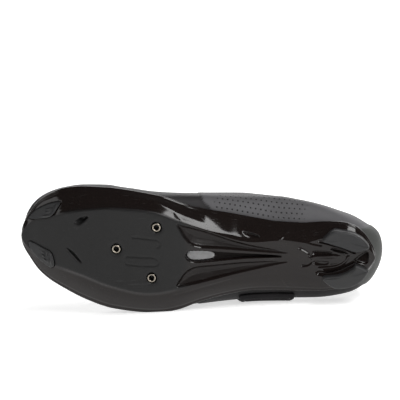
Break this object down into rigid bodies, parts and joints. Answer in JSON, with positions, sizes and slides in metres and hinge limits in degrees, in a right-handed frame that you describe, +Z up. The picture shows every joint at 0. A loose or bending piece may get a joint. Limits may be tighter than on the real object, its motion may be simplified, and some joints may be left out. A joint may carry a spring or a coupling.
{
  "type": "cycling shoe",
  "caption": "Low road cycling shoe with a stiff moulded sole, a level cleat platform with threaded sleeves, walking pads, a vented arch and a strapped hollow upper, lying on its side.",
  "frame": {"origin": "centre of the bounding box in X and Y, on the floor that the shoe lies on", "axes": "+X from the toe to the heel along the shoe's length, +Y from the sole towards the throat, +Z up, from the lateral side that it lies on to the medial side"},
  "size_m": [0.2792, 0.1032, 0.1015],
  "materials": {
    "sole_gloss": "gloss black",
    "pad_rubber": "matte dark grey rubber",
    "bright_metal": "turned bright steel",
    "mesh_fabric": "light grey woven mesh",
    "upper_synthetic": "dark grey synthetic leather, matte with a low sheen",
    "lining_fabric": "black knitted lining",
    "strap_synthetic": "black synthetic leather, satin"
  },
  "bodies": {
    "root": {"outsole": "sole_gloss", "heel_pad_medial": "pad_rubber", "heel_pad_lateral": "pad_rubber", "toe_pad_medial": "pad_rubber", "toe_pad_lateral": "pad_rubber", "cleat_insert_front": "bright_metal", "cleat_insert_medial": "bright_metal", "cleat_insert_lateral": "bright_metal", "vent_mesh": "mesh_fabric", "upper": "upper_synthetic", "insole": "lining_fabric", "tongue": "lining_fabric", "strap_instep": "strap_synthetic", "strap_forefoot": "strap_synthetic"}
  },
  "joints": []
}
